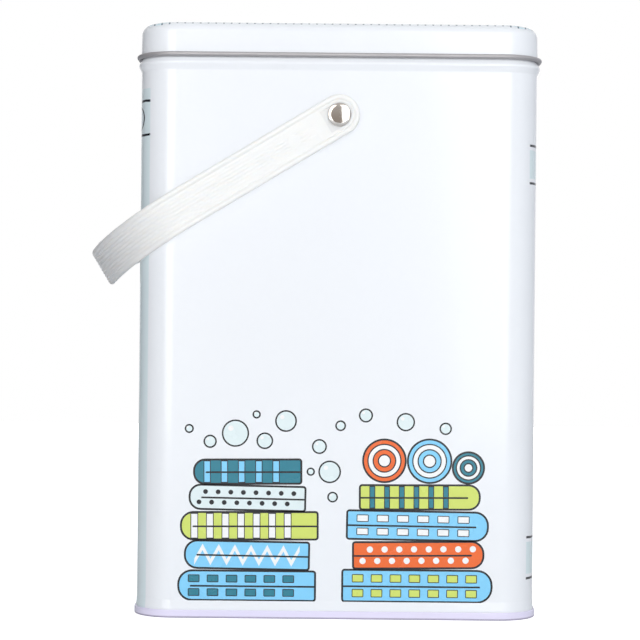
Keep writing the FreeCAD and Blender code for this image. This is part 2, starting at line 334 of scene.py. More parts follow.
def new_material(name):
    """A material and its Principled shader."""
    material = bpy.data.materials.new(name)
    material.use_nodes = True
    return material, material.node_tree.nodes["Principled BSDF"]


def dress(shader, group, strength, relief, **inputs):
    """Gives a shader the colour, roughness and fine relief that a group makes from its inputs."""
    tree = shader.id_data
    face = put(tree, "ShaderNodeGroup", inputs, node_tree=group).outputs
    bump = put(tree, "ShaderNodeBump", {"Height": face["Height"], "Strength": strength, "Distance": relief})
    feed(shader, {"Base Color": face["Colour"], "Roughness": face["Roughness"], "Normal": bump.outputs[0]})


def varnish(shader, colour, roughness=0.22):
    """Gloss enamel or printing ink of a colour, under a clear varnish."""
    skin = {"Colour": colour, "Clouding": 0.03, "Grain": 420.0, "Roughness": roughness}
    dress(shader, skin_group(), 0.25, 0.01 * MM, **skin)
    feed(shader, {"Coat Weight": 0.35, "Coat Roughness": 0.06})


def printing_ink(name, colour):
    """Ink of the front print."""
    material, shader = new_material(name)
    varnish(shader, colour, 0.26)
    return material


# The print on the sides: heights of the left rules, and of the rules below and above the right bands
LEFT_RULES = (230.3 * MM, 246.5 * MM)
RIGHT_BANDS = ((19.4 * MM, 39.0 * MM), (208.7 * MM, 226.7 * MM))
LEFT_FIELD = (3.0 * MM, 252.5 * MM)
RULE_HALF = 0.58 * MM
BAND_MARGIN = 2.2 * MM
HAND_WAVER = 0.9 * MM

# The row of ovals between the left rules
OVAL_PITCH = 24 * MM
OVAL_START = -303 * MM
OVAL_END = 52 * MM
OVAL_HEIGHT = 238.4 * MM
OVAL_HALF_WIDTH = 7 * MM
OVAL_HALF_TALL = 5.8 * MM


def past_corner(x, y, side, sizes, degrees):
    """Mask of a side wall, starting that far round its upright corners."""
    turn, soft = math.radians(degrees), 0.4 * MM
    out = x * side - (sizes.width / 2 - sizes.corner)
    along = abs(y) - (sizes.depth / 2 - sizes.corner)
    return ramp(out * math.cos(turn) - along * math.sin(turn), -soft, soft)


def oval_lines(y, drawn):
    """Mask of the outlines of the ovals."""
    step = maths("FRACT", (y - OVAL_START) / OVAL_PITCH)
    across = (step - 0.5) * (OVAL_PITCH / OVAL_HALF_WIDTH)
    up = (drawn - OVAL_HEIGHT) / OVAL_HALF_TALL
    reach = maths("SQRT", across * across + up * up) + maths("GREATER_THAN", y, OVAL_END)
    return between(reach, 0.90, 1.06, 0.02)


def fold_line(x, y, z, sizes):
    """Mask of the groove beside the folded side seam, at the back."""
    start, wide = sizes.lock + sizes.lock_width / 2, 0.35 * MM
    groove = between(x, start, start + wide, 0.04 * MM)
    upright = between(z, 7 * MM, 256 * MM, 0.3 * MM)
    return groove * upright * maths("GREATER_THAN", y, sizes.depth / 4)


def wall_enamel(sizes, colours):
    """White enamel whose print goes round the sides: a pale field, and bands between black rules."""
    crisp = 0.1 * MM
    material, shader = new_material("white_enamel_wall")
    where = coordinates(shader.id_data)
    x, y, z = split(where)
    drawn = z + (noise(where, 130.0, 2.0) - 0.5) * HAND_WAVER
    left = past_corner(x, y, -1, sizes, 45)
    right = past_corner(x, y, 1, sizes, 50)
    colour = blend_of(left * between(z, *LEFT_FIELD, crisp), colours.white, colours.side)
    for low, high in RIGHT_BANDS:
        band = right * between(drawn, low + BAND_MARGIN, high - BAND_MARGIN, crisp)
        colour = blend_of(band, colour, colours.band)
    rules = [(left, height) for height in LEFT_RULES]
    rules += [(right, height) for band in RIGHT_BANDS for height in band]
    for side, height in rules:
        line = side * between(drawn, height - RULE_HALF, height + RULE_HALF, 0.08 * MM)
        colour = blend_of(line, colour, colours.ink)
    colour = blend_of(left * oval_lines(y, drawn), colour, colours.ink)
    varnish(shader, blend_of(fold_line(x, y, z, sizes), colour, colours.shade))
    return material


def lid_enamel(sizes, colours):
    """White enamel with a fine check printed on the lid's top, and further down its shoulder at the sides."""
    pitch, crisp = 3.7 * MM, 0.1 * MM
    print_edge, lower = LID_HIGH.z - 0.85 * MM, 0.9 * MM
    material, shader = new_material("white_enamel_lid")
    x, y, z = split(coordinates(shader.id_data))
    lines = between(maths("FRACT", x / pitch + 100.5), 0.4, 0.6, 0.05)
    washes = between(maths("FRACT", y / pitch + 100.5), 0.2, 0.8, 0.05)
    turned = abs(x) - (sizes.width / 2 - sizes.corner)
    dropped = z + ramp(turned, 0.0, 6 * MM, 0.0, lower)
    top = between(dropped, print_edge, LID_HIGH.z + 2 * MM, crisp)
    checked = blend_of(lines, blend_of(washes, colours.white, colours.check), colours.dot)
    varnish(shader, blend_of(top, colours.white, checked))
    return material


def seam_enamel(colours):
    """Lilac enamel, with shade painted along its foot as a darker lilac, where the tin stands on it."""
    material, shader = new_material("lilac_enamel_seam")
    height = split(coordinates(shader.id_data))[2]
    # Painted shade: the lowest millimetre or so of the seam turns to the darker lilac, as shade where it
    # meets the floor
    varnish(shader, blend_of(ramp(height, 1.1 * MM, 0.6 * MM), colours.lilac, colours.foot_shade))
    return material


def metal(name, colour, roughness, blotches):
    """Bare or polished metal."""
    material, shader = new_material(name)
    dress(shader, metal_group(), 0.12, 0.01 * MM, Colour=colour, Blotches=blotches, Roughness=roughness)
    feed(shader, {"Metallic": 1.0})
    return material


def bare_inside(name, colours):
    """Bare sheet of the tin's inside."""
    return metal(name, colours.inside, 0.42, 0.10)


def moulded_plastic(name, colour, translucent):
    """Moulded plastic; on translucent plastic, shade is painted into the colour: greyer edge on, and greyer
    where the mesh carries a mark for painted shade.
    """
    material, shader = new_material(name)
    tree = shader.id_data
    # Painted shade: the colour goes greyer as the surface turns edge on, and greyer still where the mesh's
    # attribute asks for painted shade
    edge_on = Value(put(tree, "ShaderNodeLayerWeight", {"Blend": 0.5}).outputs["Facing"])
    marked = Value(put(tree, "ShaderNodeAttribute", attribute_name="painted_shade").outputs["Fac"])
    edge_grey = ramp(edge_on, 0.2, 0.95, 0.0, translucent * 0.14)
    shade_amount = maths("MAXIMUM", edge_grey, marked * (translucent * 0.38))
    # The painted shade mixes the plastic's colour towards a fixed blue-grey
    through = blend_of(shade_amount, colour, (0.40, 0.40, 0.44, 1))
    dress(shader, skin_group(), 0.3, 0.02 * MM, Colour=through, Clouding=0.02, Grain=700.0, Roughness=0.36)
    shadow = light_path(tree, "Is Shadow Ray") * (translucent * 1.1)
    scatter = {"Subsurface Weight": 0.6, "Subsurface Radius": (1.0, 0.9, 0.8), "Subsurface Scale": 0.0022}
    feed(shader, {"Alpha": 1.0 - shadow, "IOR": 1.46, **scatter})
    return material


# Shapes


def round_off(bm, vertex, reach, steps):
    """Bevels a vertex into an arc that starts at a distance from it."""
    bmesh.ops.bevel(
        bm, geom=[vertex], offset=reach, offset_type="OFFSET", segments=steps,
        profile=0.5, affect="VERTICES", clamp_overlap=False, material=-1,
    )


def drawn_line(bm, corners, place, closed=False):
    """Edges through corners; place(u, v) puts a corner's two numbers (mm) in space.

    A corner may have a third number, the radius that it is rounded to.
    """
    made = [bm.verts.new(place(corner[0] * MM, corner[1] * MM)) for corner in corners]
    ends = list(zip(made, made[1:])) + ([(made[-1], made[0])] if closed else [])
    for pair in ends:
        bm.edges.new(pair)
    for vertex, corner in zip(made, corners):
        if len(corner) == 3:
            first, second = [edge.other_vert(vertex).co - vertex.co for edge in vertex.link_edges]
            round_off(bm, vertex, corner[2] * MM / math.tan(first.angle(second) / 2), 8)
    return bm.edges[:]


def carried(bm, parts, run=(0, 0, 0), turn=0.0, centre=(0, 0, 0), axis=(0, 0, 1), steps=1, merge=False):
    """Sweeps edges, or vertices, along a run or round a centre, and returns those at the far end."""
    swept = bmesh.ops.spin(
        bm, geom=parts, cent=centre, axis=axis, dvec=run, angle=turn, steps=steps,
        use_merge=merge, use_normal_flip=False, use_duplicate=False,
    )
    return [part for part in swept["geom_last"] if isinstance(part, type(parts[0]))]


def raised(bm, run):
    """Extrudes all faces along a run."""
    made = bmesh.ops.extrude_face_region(bm, geom=bm.faces[:])
    moved = [part for part in made["geom"] if isinstance(part, bmesh.types.BMVert)]
    bmesh.ops.translate(bm, vec=run, verts=moved)


def mirrored(bm, *axes, weld=0.0):
    """Mirrors everything in turn across planes through the middle, and may weld it there."""
    for axis in axes:
        bmesh.ops.mirror(bm, geom=bm.verts[:] + bm.edges[:] + bm.faces[:], axis=axis, merge_dist=weld)
    if weld:
        bmesh.ops.remove_doubles(bm, verts=bm.verts, dist=weld)


def rolled_sheet(sizes, corners, panel=None):
    """Carries a section round the whole tin; a panel at a height (mm) closes what it leaves open.

    The section is drawn in the middle of the right side, outward from the wall's face and up (mm).
    """
    bm = bmesh.new()
    edges = drawn_line(bm, corners, lambda outward, up: (sizes.width / 2 + outward, 0, up))
    x_run = sizes.width / 2 - sizes.corner
    y_run = sizes.depth / 2 - sizes.corner
    edges = carried(bm, edges, run=(0, y_run, 0))
    edges = carried(bm, edges, turn=math.pi / 2, centre=(x_run, y_run, 0), steps=26)
    carried(bm, edges, run=(-x_run, 0, 0))
    mirrored(bm, "X", "Y", weld=NEAR)
    if panel is not None:
        rims = [edge for edge in bm.edges if edge.is_boundary]
        inner = [edge for edge in rims if abs(edge.verts[0].co.z - panel * MM) < 10 * NEAR]
        bmesh.ops.holes_fill(bm, edges=inner, sides=0)
    bmesh.ops.recalc_face_normals(bm, faces=bm.faces)
    middle = Vector((0, 0, LID_HIGH.z / 2))
    largest = max(bm.faces, key=lambda face: face.calc_area())
    if largest.normal.dot(largest.calc_center_median() - middle) < 0:
        bmesh.ops.reverse_faces(bm, faces=bm.faces)
    return bm


def new_object(name, bm):
    """An object at the origin that holds a finished mesh."""
    mesh = bpy.data.meshes.new(name)
    bm.to_mesh(mesh)
    bm.free()
    made = bpy.data.objects.new(name, mesh)
    bpy.context.collection.objects.link(made)
    return made


def piece(name, bm, materials, body, sharp=35.0):
    """Makes the finished mesh into a piece that rides on a body."""
    made = new_object(name, bm)
    for material in materials:
        made.data.materials.append(material)
    made.data.shade_smooth()
    made.data.set_sharp_from_angle(angle=math.radians(sharp))
    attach(made, body)
    return made


def thicken(made, thickness, offset):
    """Gives a sheet its thickness; its inner face has the piece's second material."""
    wall = made.modifiers.new("Sheet", "SOLIDIFY")
    wall.thickness = thickness
    wall.offset = offset
    wall.use_even_offset = True
    wall.material_offset = 1
    even_out(made)


def even_out(made):
    """Keeps the large flat faces flat in their shading."""
    normals = made.modifiers.new("Even normals", "WEIGHTED_NORMAL")
    normals.keep_sharp = True
    normals.weight = 80


# Pieces


class TIN_OT_wall(bpy.types.Operator):
    """Rolls the wall: flared at the seam, beaded and necked at the top, with its rim folded in"""

    bl_idname = "tin.wall"
    bl_label = "Wall"

    def execute(self, context):
        sizes, colours = context.scene.tin_sizes, context.scene.tin_colours
        proud, inset, flare = sizes.bead_proud / MM, sizes.neck_inset / MM, sizes.flare / MM
        crest, rim, fold = sizes.bead_height / MM, sizes.rim / MM, sizes.sheet / MM + 0.6
        foot = [(flare, 0.9), (flare, 4.6, 3.0), (0, 8.6, 6.0)]
        bead = [(0, crest - 3.6, 1.8), (proud + 0.08, crest - 0.4, 1.4), (-inset, crest + 3.4, 2.6)]
        folded_rim = [(-inset, rim, 0.45), (-inset - fold, rim, 0.45), (-inset - fold, rim - 3.5)]
        bm = rolled_sheet(sizes, foot + bead + folded_rim)
        coats = [wall_enamel(sizes, colours), bare_inside("tinplate_inside_wall", colours)]
        made = piece("rolled_wall", bm, coats, "can")
        thicken(made, sizes.sheet, -1)
        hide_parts("body_wall")
        return {"FINISHED"}


class TIN_OT_side_seam(bpy.types.Operator):
    """Folds the ridge of the side seam, inside the wall at the back"""

    bl_idname = "tin.side_seam"
    bl_label = "Side seam"

    def execute(self, context):
        sizes, colours = context.scene.tin_sizes, context.scene.tin_colours
        half, sheet = sizes.lock_width / 2 / MM, sizes.sheet / MM
        outer = sizes.depth / 2 / MM - sheet * 0.9
        inner = outer - 2.1 * sheet
        foot, head = sizes.seam_height + 3 * MM, sizes.bead_height - 8.2 * MM
        bm = bmesh.new()
        corners = [(-half, outer), (half, outer), (half, inner, 0.2), (-half, inner, 0.2)]
        edges = drawn_line(bm, corners, lambda across, depth: (sizes.lock + across, depth, foot), closed=True)
        bmesh.ops.contextual_create(bm, geom=edges)
        raised(bm, (0, 0, head - foot))
        bmesh.ops.recalc_face_normals(bm, faces=bm.faces)
        bare = bare_inside("tinplate_side_seam", colours)
        piece("folded_side_seam", bm, [bare], "can")
        return {"FINISHED"}


class TIN_OT_seam(bpy.types.Operator):
    """Rolls the lilac bottom end: its seam, its sunk panel and a stiffening step in the panel"""

    bl_idname = "tin.seam"
    bl_label = "Bottom seam"

    def execute(self, context):
        sizes, colours = context.scene.tin_sizes, context.scene.tin_colours
        reach, high = sizes.seam_reach / MM, sizes.seam_height / MM
        chuck, ledge, panel = -0.71, 4.55, 3.9
        fold = [(0.42, high - 1.4), (0.42, high, 0.3), (reach, high, 0.55), (reach, 0, 0.6), (chuck, 0, 0.6)]
        step = [(chuck, ledge, 1.0), (-9.5, ledge, 1.0), (-10.7, panel, 1.0), (-13.0, panel)]
        bm = rolled_sheet(sizes, fold + step, panel)
        coats = [seam_enamel(colours), bare_inside("tinplate_inside_seam", colours)]
        made = piece("rolled_seam", bm, coats, "can")
        thicken(made, sizes.end_sheet, -1)
        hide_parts("base_end")
        return {"FINISHED"}


class TIN_OT_lid(bpy.types.Operator):
    """Presses the slip lid: sunk panel, rounded shoulder, drafted side and an outward curl of bare metal"""

    bl_idname = "tin.lid"
    bl_label = "Lid"

    def execute(self, context):
        sizes, colours = context.scene.tin_sizes, context.scene.tin_colours
        half_sheet = sizes.sheet / MM / 2
        top = LID_HIGH.z / MM - half_sheet
        panel = top - sizes.lid_drop / MM
        curl, middle = sizes.curl / MM / 2 - half_sheet, sizes.curl_height / MM
        inside, outside = half_sheet, half_sheet + 2 * curl
        pressed = [(-12.4, panel), (-10.9, panel, 1.6), (-9.1, top, 1.6)]
        side = [(-0.2, top, sizes.lid_shoulder / MM - half_sheet), (inside, middle - curl, curl)]
        rolled = [(outside, middle - curl, curl), (outside, middle + curl, curl), (0.57, middle + curl)]
        bm = rolled_sheet(sizes, pressed + side + rolled, panel)
        bare = metal("tinplate_inside_lid", colours.tinplate, 0.62, 0.10)
        made = piece("pressed_lid", bm, [lid_enamel(sizes, colours), bare], "lid")
        thicken(made, sizes.sheet, 0)
        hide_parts("lid")
        return {"FINISHED"}


POCKET_FLOOR = 1 * MM


def strap_corners(bail):
    """Corners of the strap's section as (outward, across), one half after the other."""
    edge, border, floor = bail.strap / 2 / MM, bail.border / MM, bail.floor / MM
    border_width = 2.9
    foot = edge - border_width
    pitch = 2 * foot / bail.ribs
    below = [(0, -edge, 0.5), (border, -edge, 1.3), (border, -foot - 0.9, 1.1), (floor, -foot, 0.7)]
    above = [(out, -across, radius) for out, across, radius in reversed(below)]
    ribs = []
    for rib in range(bail.ribs):
        ribs.append((floor + bail.rib_height / MM, -foot + (rib + 0.5) * pitch))
        ribs.append((floor, -foot + (rib + 1) * pitch))
    return [(0, 0)] + below + ribs[:-1] + above


def cut_from(made, cutter):
    """Cuts one closed shape out of another for good, and removes the cutter."""
    cut = made.modifiers.new("Cut", "BOOLEAN")
    cut.operation, cut.solver, cut.use_self, cut.object = "DIFFERENCE", "EXACT", True, cutter
    bpy.context.view_layer.update()
    shaped = made.evaluated_get(bpy.context.evaluated_depsgraph_get())
    mesh = bpy.data.meshes.new_from_object(shaped)
    made.modifiers.clear()
    made.data = mesh
    bpy.data.objects.remove(cutter)


def eased(value, start, run):
    """Goes smoothly from 0 to 1 as a value goes from a start over a run."""
    share = min(max((value - start) / run, 0), 1)
    return share * share * (3 - 2 * share)


class TIN_OT_bail(bpy.types.Operator):
    """Moulds the bail: a ribbed strap with raised borders, and a pocketed eye at each end"""

    bl_idname = "tin.bail"
    bl_label = "Bail"

    def execute(self, context):
        bail, colours = context.scene.bail_sizes, context.scene.tin_colours
        pad_edge, ribbed = 1.2 * MM, bail.strap / 2 - 2.85 * MM
        bm = bmesh.new()
        corners = strap_corners(bail)
        edges = drawn_line(bm, corners, lambda out, up: (-bail.pad_length, -bail.face - out, up), closed=True)
        bend_from = (bail.bend - bail.reach, bail.bend - bail.face, 0)
        far = carried(bm, edges, run=(bend_from[0] + bail.pad_length, 0, 0))
        far = carried(bm, far, turn=-math.pi / 2, centre=bend_from, steps=30)
        carried(bm, far, run=(0, bail.face - bail.bend, 0))
        near = carried(bm, edges, run=(pad_edge, 0, 0))
        for vertex in {vertex for edge in near for vertex in edge.verts}:
            if abs(vertex.co.z) < ribbed and -bail.face - vertex.co.y > 1 * MM:
                vertex.co.y = -bail.face - bail.pad
        near = carried(bm, near, run=(bail.pad_length - pad_edge, 0, 0))
        upper = [edge for edge in near if all(vertex.co.z > -NEAR for vertex in edge.verts)]
        carried(bm, upper, turn=math.pi, axis=(0, 1, 0), steps=28)
        mirrored(bm, "Y", weld=NEAR)
        bmesh.ops.recalc_face_normals(bm, faces=bm.faces)
        plastic = moulded_plastic("milky_plastic_bail", colours.plastic, 0.85)
        made = piece("ribbed_bail", bm, [plastic], "handle")
        cut_from(made, self.pockets(bail))
        self.spring(made.data, bail)
        made.data.transform(Matrix.Translation(PIVOT) @ Matrix.Rotation(-bail.drop, 4, "Y"))
        made.data.set_sharp_from_angle(angle=math.radians(30))
        even_out(made)
        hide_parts("bail_handle")
        return {"FINISHED"}

    def spring(self, mesh, bail):
        """Springs the strap, and sets where shade is painted on it: over the grip, which has no wall behind
        it, and on the pocket floors.
        """
        marks = mesh.attributes.new("painted_shade", "FLOAT", "POINT")
        for vertex in mesh.vertices:
            free = eased(-vertex.co.x, 88 * MM, 42 * MM)
            floor = abs(abs(vertex.co.y) - bail.face - POCKET_FLOOR) < NEAR
            # Painted shade: 1 over the free grip, 0.45 on the pocket floors; the bail material greys its
            # colour by this
            marks.data[vertex.index].value = max(free, 0.45 if floor else 0)
            vertex.co = self.sprung(self.filled(vertex.co, free, bail), bail)

    def filled(self, spot, free, bail):
        """Fills the grip between its borders, all but its ribs' height, and rounds its edges."""
        x, y, z = spot
        rounded, sunk = 3.5 * MM, bail.border - bail.floor - bail.rib_height
        past_bend = math.copysign(max(abs(y) - bail.face + bail.bend, 0), y)
        outward = Vector((min(x + bail.reach - bail.bend, 0), past_bend))
        out = outward.length - bail.bend
        rim = max(abs(z) - bail.strap / 2 + rounded, 0) / rounded
        lift = -bail.rounder * rim * rim * out / bail.border
        if out > bail.floor - NEAR and abs(z) < bail.strap / 2 - 1.9 * MM:
            lift += bail.fuller * min((bail.border - out) / sunk, 1)
        shift = outward.normalized() * free * lift
        return x + shift.x, y + shift.y, z

    def sprung(self, spot, bail):
        """Sags the front half, and turns the back half up round a tighter bend."""
        x, y, z = spot
        sag_from = 80 * MM
        back = eased(y, -45 * MM, 110 * MM)
        along = max(-x - sag_from, 0) / (bail.reach - sag_from)
        round_bend = math.atan2(max(bail.bend - bail.reach - x, 0), max(y - bail.face + bail.bend, 1e-9))
        push = bail.tighter * math.sin(2 * round_bend) ** 2 * math.sqrt(0.5)
        moved = Vector((x - push, y + push, z - bail.sag * along * along * (1 - back)))
        return Matrix.Rotation(bail.twist * back, 3, "Y") @ moved

    def pockets(self, bail):
        """The pockets and rivet holes of both eyes, and the gate mark, as one closed cutter."""
        bm = bmesh.new()
        half, end, floor = bail.head + 0.15 * MM, bail.head + 2.1 * MM, bail.face + POCKET_FLOOR
        start, foot = [bm.verts.new((along, -floor, -half)) for along in (-end, 0)]
        bm.edges.new((start, foot))
        last = carried(bm, [foot], turn=-math.pi, axis=(0, 1, 0), steps=24)[0]
        corner = bm.verts.new((-end, -floor, half))
        bm.edges.new((last, corner))
        bm.edges.new((corner, start))
        bmesh.ops.contextual_create(bm, geom=bm.edges[:])
        raised(bm, (0, -3 * MM, 0))
        rivet_hole = (bail.face, 0, bail.shank + 0.05 * MM, 6 * MM)
        gate_mark = (bail.face + bail.floor + 1.33 * MM, -24.8 * MM, bail.gate, 3 * MM)
        for reach, along, radius, depth in (rivet_hole, gate_mark):
            place = Matrix.Translation((along, -reach, 0)) @ Matrix.Rotation(math.pi / 2, 4, "X")
            bmesh.ops.create_cone(
                bm, cap_ends=True, segments=40, radius1=radius, radius2=radius, depth=depth, matrix=place,
            )
        mirrored(bm, "Y")
        bmesh.ops.recalc_face_normals(bm, faces=bm.faces)
        return new_object("pockets", bm)


class TIN_OT_rivets(bpy.types.Operator):
    """Turns the two polished rivets that the bail swings on"""

    bl_idname = "tin.rivets"
    bl_label = "Rivets"

    def execute(self, context):
        sizes, bail, colours = context.scene.tin_sizes, context.scene.bail_sizes, context.scene.tin_colours
        wall, seat = sizes.depth / 2, bail.face + 1.1 * MM - sizes.depth / 2
        head, shank, low = bail.head / MM, bail.shank / MM, seat / MM
        tail = [(0, -1.4), (3.9, -1.4, 0.8), (4.4, -0.3), (shank, -0.3)]
        side = [(shank, low), (head, low, 0.25), (head, low + 1.25, 0.45)]
        dome = [(head - 1.3, low + 1.58, 2.0), (head - 3.3, low + 1.7), (0, low + 1.75)]
        bm = bmesh.new()
        edges = drawn_line(bm, tail + side + dome, lambda radius, out: (radius, -wall - out, PIVOT.z))
        carried(bm, edges, turn=2 * math.pi, centre=(0, 0, PIVOT.z), axis=(0, 1, 0), steps=56, merge=True)
        bmesh.ops.remove_doubles(bm, verts=bm.verts, dist=NEAR)
        for vertex in bm.verts:
            if -wall - vertex.co.y > seat + 0.6 * MM:
                vertex.co.y += vertex.co.x * math.tan(bail.head_tilt)
        mirrored(bm, "Y")
        bmesh.ops.recalc_face_normals(bm, faces=bm.faces)
        steel = metal("bright_steel_rivets", colours.steel, 0.07, 0.06)
        made = piece("polished_rivets", bm, [steel], "can", sharp=60)
        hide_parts("rivets")
        return {"FINISHED"}


class TIN_OT_spacers(bpy.types.Operator):
    """Gives the spacers behind the bail their moulded plastic"""

    bl_idname = "tin.spacers"
    bl_label = "Spacers"

    def execute(self, context):
        plastic = moulded_plastic("white_plastic_spacers", context.scene.tin_colours.spacer, 0.0)
        for slot in frame["nodes"]["spacers"].material_slots:
            slot.material = plastic
        return {"FINISHED"}


# Print on the front: folded laundry in two piles, and bubbles

INKS = ("ink", "sky", "lime", "orange", "teal", "mint", "paper")


def turned_about(spot, degrees):
    """Turns flat shapes, drawn in the XY plane, round a spot (mm)."""
    pivot = Matrix.Translation((spot[0] * MM, spot[1] * MM, 0))
    return pivot @ Matrix.Rotation(math.radians(degrees), 4, "Z") @ pivot.inverted()


class FrontPrint:
    """Flat shapes of ink in millimetres across and up, each in its colour, on its layer and outlined."""

    def __init__(self, depth):
        self.depth = depth
        self.bm = bmesh.new()
        self.turned = Matrix()

    def keep(self, shape, layer, colour, outline):
        """Outlines a shape's one face and prints it on the wall."""
        rim = []
        if outline:
            inset = bmesh.ops.inset_region(
                shape, faces=shape.faces[:], thickness=outline * MM, use_even_offset=True, use_boundary=True,
            )
            rim = inset["faces"]
        for face in shape.faces:
            if face not in rim:
                face.material_index = INKS.index(colour)
        lifted = Matrix.Translation((0, -self.depth / 2 - layer * 0.03 * MM, 0))
        upright = Matrix.Rotation(math.pi / 2, 4, "X")
        bmesh.ops.transform(shape, matrix=lifted @ upright @ self.turned, verts=shape.verts)
        mesh = bpy.data.meshes.new("shape")
        shape.to_mesh(mesh)
        shape.free()
        self.bm.from_mesh(mesh)
        bpy.data.meshes.remove(mesh)

    def patch(self, low, high, layer, colour, outline=0.0, rounding=(0, 0, 0, 0)):
        """A rectangle from its lower left to its upper right corner, each corner rounded as asked."""
        shape = bmesh.new()
        size = Vector((high[0] - low[0], high[1] - low[1], 1)) * MM
        middle = Vector((high[0] + low[0], high[1] + low[1], 0)) * MM / 2
        place = Matrix.Translation(middle) @ Matrix.Diagonal(size).to_4x4()
        bmesh.ops.create_grid(shape, x_segments=1, y_segments=1, size=0.5, matrix=place)
        spots = [low, (high[0], low[1]), high, (low[0], high[1])]
        for spot, radius in zip(spots, rounding):
            if radius:
                at = Vector((spot[0] * MM, spot[1] * MM, 0))
                corner = min(shape.verts, key=lambda vertex: (vertex.co - at).length)
                round_off(shape, corner, radius * MM, 7)
        self.keep(shape, layer, colour, outline)

    def disc(self, at, radius, layer, colour, outline=0.0):
        """A round spot."""
        shape = bmesh.new()
        place = Matrix.Translation((at[0] * MM, at[1] * MM, 0))
        sides = max(16, int(radius * 6))
        bmesh.ops.create_circle(shape, cap_ends=True, segments=sides, radius=radius * MM, matrix=place)
        self.keep(shape, layer, colour, outline)

    def zigzag(self, low, high, layer, colour, teeth, band):
        """A band that goes up and down between two heights."""
        shape = bmesh.new()
        step = (high[0] - low[0]) / teeth
        corners = [(low[0] + i * step, high[1] - band if i % 2 else low[1]) for i in range(teeth + 1)]
        edges = drawn_line(shape, corners, lambda across, up: (across, up, 0))
        carried(shape, edges, run=(0, band * MM, 0))
        self.keep(shape, layer, colour, 0.0)

    def towel(self, low, high, colour, pattern, turned=0.0, fold="left"):
        """A folded cloth seen from its side: rounded at its fold, patterned, with its lower ply showing."""
        tall, line = high[1] - low[1], 0.95
        self.turned = turned_about(((low[0] + high[0]) / 2, (low[1] + high[1]) / 2), turned)
        folded, loose = (tall * 0.46, 6), (1.6, 0.5)
        (left, left_gap), (right, right_gap) = (folded, loose) if fold == "left" else (loose, folded)
        self.patch(low, high, 1, colour, line, (left, right, right, left))
        pattern(self, (low[0] + 5.0, low[1] + line), (high[0] - 5.0, high[1] - line))
        middle = low[1] + tall * 0.48
        ply = (low[0] + left_gap, middle - 0.4), (high[0] - right_gap, middle + 0.4)
        self.patch(*ply, 4, "ink", 0.0, (0.3,) * 4)
        self.turned = Matrix()


def stripes(colour, pitch, share):
    """A pattern of upright bars."""
    def draw(sheet, low, high):
        for i in range(int((high[0] - low[0]) / pitch)):
            start = low[0] + i * pitch
            sheet.patch((start, low[1]), (start + pitch * share, high[1]), 2, colour, 0.4)
    return draw


def dots(colour, pitch, radius):
    """A pattern of two rows of dots, set half a pitch apart."""
    def draw(sheet, low, high):
        for share, across in ((0.27, low[0]), (0.74, low[0] + pitch / 2)):
            while across < high[0]:
                sheet.disc((across, low[1] + (high[1] - low[1]) * share), radius, 2, colour)
                across += pitch
    return draw


def zigzags(colour, band):
    """A pattern of one band that goes up and down."""
    def draw(sheet, low, high):
        sheet.zigzag((low[0], low[1] + 1.0), (high[0], high[1] - 1.0), 2, colour, 13, band)
    return draw


def squares(colour, pitch, share):
    """A pattern of two rows of outlined squares."""
    def draw(sheet, low, high):
        half = (high[1] - low[1]) / 2
        for row in range(2):
            foot = low[1] + row * half + half * 0.22
            across = low[0]
            while across + pitch * share < high[0]:
                top_right = (across + pitch * share, foot + half * 0.56)
                sheet.patch((across, foot), top_right, 2, colour, 0.4, (0.5,) * 4)
                across += pitch
    return draw


LEFT_PILE = (
    ((-75, 8), (-9, 23), "sky", squares("teal", 9.0, 0.62), 0.0),
    ((-72, 23), (-12, 37), "sky", zigzags("paper", 3.0), -0.6),
    ((-74, 37), (-8, 51), "lime", stripes("paper", 7.4, 0.5), 0.5),
    ((-70, 51), (-14, 63.5), "mint", dots("ink", 6.0, 1.15), -0.8),
    ((-68, 63.5), (-16, 76), "teal", stripes("sky", 8.2, 0.42), 0.6),
)
RIGHT_PILE = (
    ((3, 8), (75, 24), "sky", squares("lime", 9.0, 0.62), 0.0),
    ((8, 24), (71, 37.5), "orange", dots("paper", 7.0, 1.5), 0.7),
    ((5, 37.5), (73, 52), "sky", squares("paper", 9.6, 0.6), -0.5),
    ((11, 52), (69, 64.5), "lime", stripes("teal", 7.0, 0.4), 0.4),
)
ROLLS = (((23, 75.5), 10.6, "orange"), ((44.5, 75.5), 10.8, "sky"), ((63, 72.5), 7.9, "teal"))
BUBBLES = (
    (-48, 88, 6.5), (-34, 84.5, 4.0), (-60, 84, 3.2), (-24, 94, 5.2), (-8, 82, 3.6), (-3, 70, 5.4),
    (2, 92, 2.6), (-1.5, 58, 2.6), (14, 97, 3.4), (33, 94, 4.4), (52, 91, 3.0), (-70, 90, 2.2),
    (-38, 97, 2.0), (-12, 70, 2.0),
)


class TIN_OT_front_print(bpy.types.Operator):
    """Prints folded laundry and bubbles on the lower front"""

    bl_idname = "tin.front_print"
    bl_label = "Front print"

    def execute(self, context):
        sizes, colours = context.scene.tin_sizes, context.scene.tin_colours
        sheet = FrontPrint(sizes.depth)
        for fold, pile in (("left", LEFT_PILE), ("right", RIGHT_PILE)):
            for towel in pile:
                sheet.towel(*towel, fold)
        for at, radius, colour in ROLLS:
            for ring, shade in enumerate((colour, "paper", colour, "paper")):
                sheet.disc(at, radius - ring * radius / 4.3, 1 + ring, shade, 0.6 if ring else 0.9)
        for x, z, radius in BUBBLES:
            sheet.disc((x, z), radius, 1, "mint", 0.75)
            sheet.disc((x - radius * 0.34, z + radius * 0.36), radius * 0.2, 2, "paper")
        inks = [printing_ink(f"print_{name}", getattr(colours, name)) for name in INKS]
        piece("front_print", sheet.bm, inks, "can")
        return {"FINISHED"}


# Studio


